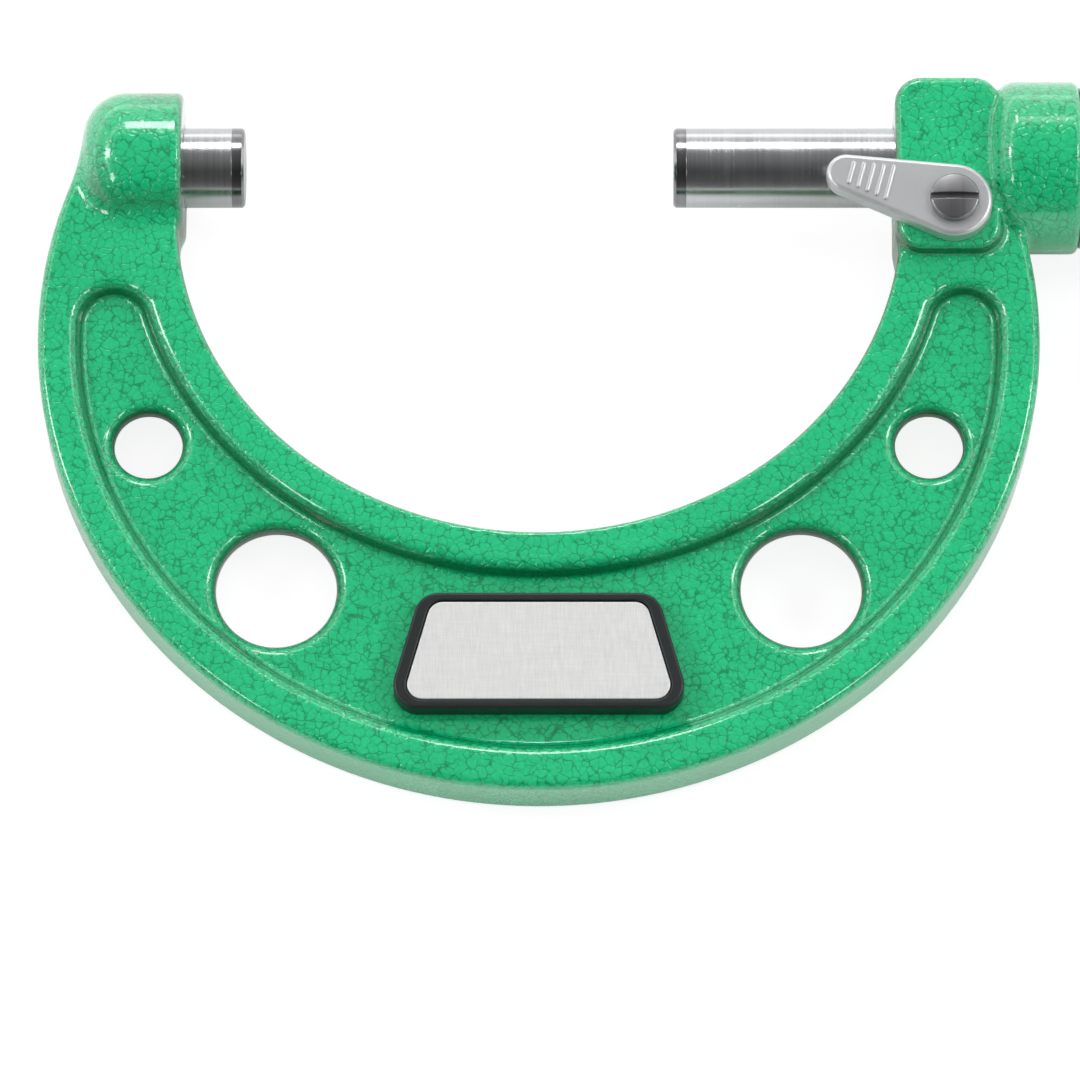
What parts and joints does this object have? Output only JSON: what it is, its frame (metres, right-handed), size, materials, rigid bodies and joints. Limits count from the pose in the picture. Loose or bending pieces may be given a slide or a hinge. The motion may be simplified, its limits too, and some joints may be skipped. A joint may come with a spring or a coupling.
{
  "type": "outside micrometer",
  "caption": "Outside micrometer with a green U-shaped cast frame, recessed web with round holes, screw-fed spindle, graduated sleeve and thimble, ratchet stop and spindle lock.",
  "frame": {"origin": "centre of the anvil's measuring face", "axes": "+X from the anvil along the spindle, +Y out of the open mouth of the frame, +Z out of the front that carries the plate"},
  "size_m": [0.1589, 0.0622, 0.0172],
  "materials": {
    "green_paint": "hammered gloss enamel",
    "black_plastic": "satin moulded",
    "brushed_plate": "fine vertical brushing",
    "satin_chrome": "satin",
    "ground_steel": "fine ground",
    "dark_steel": "turned",
    "carbide": "lapped",
    "spring_steel": "drawn"
  },
  "bodies": {
    "frame": {"frame": "green_paint", "anvil": "ground_steel", "anvil_tip": "carbide", "label_bezel": "black_plastic", "label_plate": "brushed_plate", "inner_sleeve": "dark_steel", "outer_sleeve": "satin_chrome", "adjusting_nut": "dark_steel"},
    "spindle": {"spindle": "ground_steel", "spindle_tip": "carbide"},
    "thimble": {"thimble": "satin_chrome", "ratchet_shank": "ground_steel", "ratchet_spring": "spring_steel", "ratchet_washer": "ground_steel", "ratchet_screw": "ground_steel"},
    "ratchet_knob": {"ratchet_knob": "satin_chrome"},
    "ratchet_pawl": {"ratchet_pawl": "ground_steel"},
    "spindle_lock": {"lock_shaft": "ground_steel", "lock_lever": "satin_chrome", "lock_screw": "dark_steel", "lock_washer": "ground_steel", "lock_clip": "spring_steel"}
  },
  "joints": [
    {"name": "spindle_feed", "type": "slide", "parent": "frame", "child": "spindle", "axis": [1, 0, 0], "range_m": [-0.01, 0.015]},
    {"name": "thimble_turn", "type": "hinge", "parent": "spindle", "child": "thimble", "pos_m": [0.0845, 0, 0], "axis": [1, 0, 0], "range_deg": [-7200, 10800]},
    {"name": "ratchet_turn", "type": "hinge", "parent": "thimble", "child": "ratchet_knob", "pos_m": [0.13, 0, 0], "axis": [1, 0, 0], "continuous": true},
    {"name": "pawl_travel", "type": "slide", "parent": "thimble", "child": "ratchet_pawl", "axis": [0, 0, 1], "range_m": [-0.0005, 0], "stiffness_N_per_m": 800, "springref_m": 0.0005, "deforming": ["ratchet_spring"]},
    {"name": "lock_turn", "type": "hinge", "parent": "frame", "child": "spindle_lock", "pos_m": [0.05758, -0.00498, 0], "axis": [0, 0, 1], "range_deg": [-70, 0]}
  ],
  "couplings": [
    {"joint": "thimble_turn", "follows": "spindle_feed", "rad_per_m": 12566}
  ]
}
